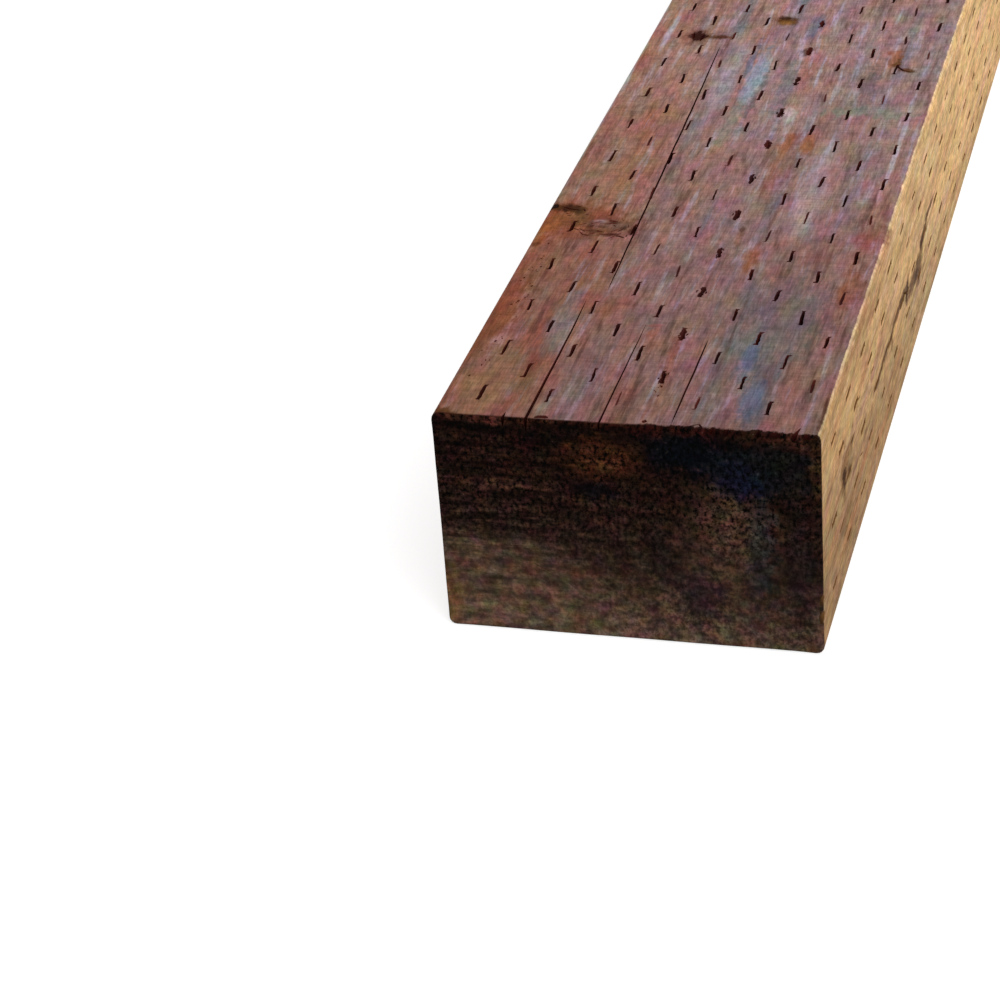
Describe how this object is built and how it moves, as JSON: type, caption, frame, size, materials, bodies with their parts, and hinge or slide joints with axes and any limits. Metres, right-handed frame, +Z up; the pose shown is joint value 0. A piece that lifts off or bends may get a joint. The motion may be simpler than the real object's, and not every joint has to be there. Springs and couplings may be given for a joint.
{
  "type": "treated timber beam",
  "caption": "Straight sawn softwood beam of rectangular section with eased edges, incised and pressure treated, used as a post, joist, sleeper or bearer.",
  "frame": {"origin": "middle of the underside, the wide face that the beam lies on", "axes": "+Z up through the beam's thickness; +Y along the grain, from the near end in the picture to the far end; +X across the wide face, towards the pale side face"},
  "size_m": [0.14, 2.438, 0.089],
  "materials": {
    "treated_wood": "matte"
  },
  "bodies": {
    "root": {"timber_beam": "treated_wood"}
  },
  "joints": []
}
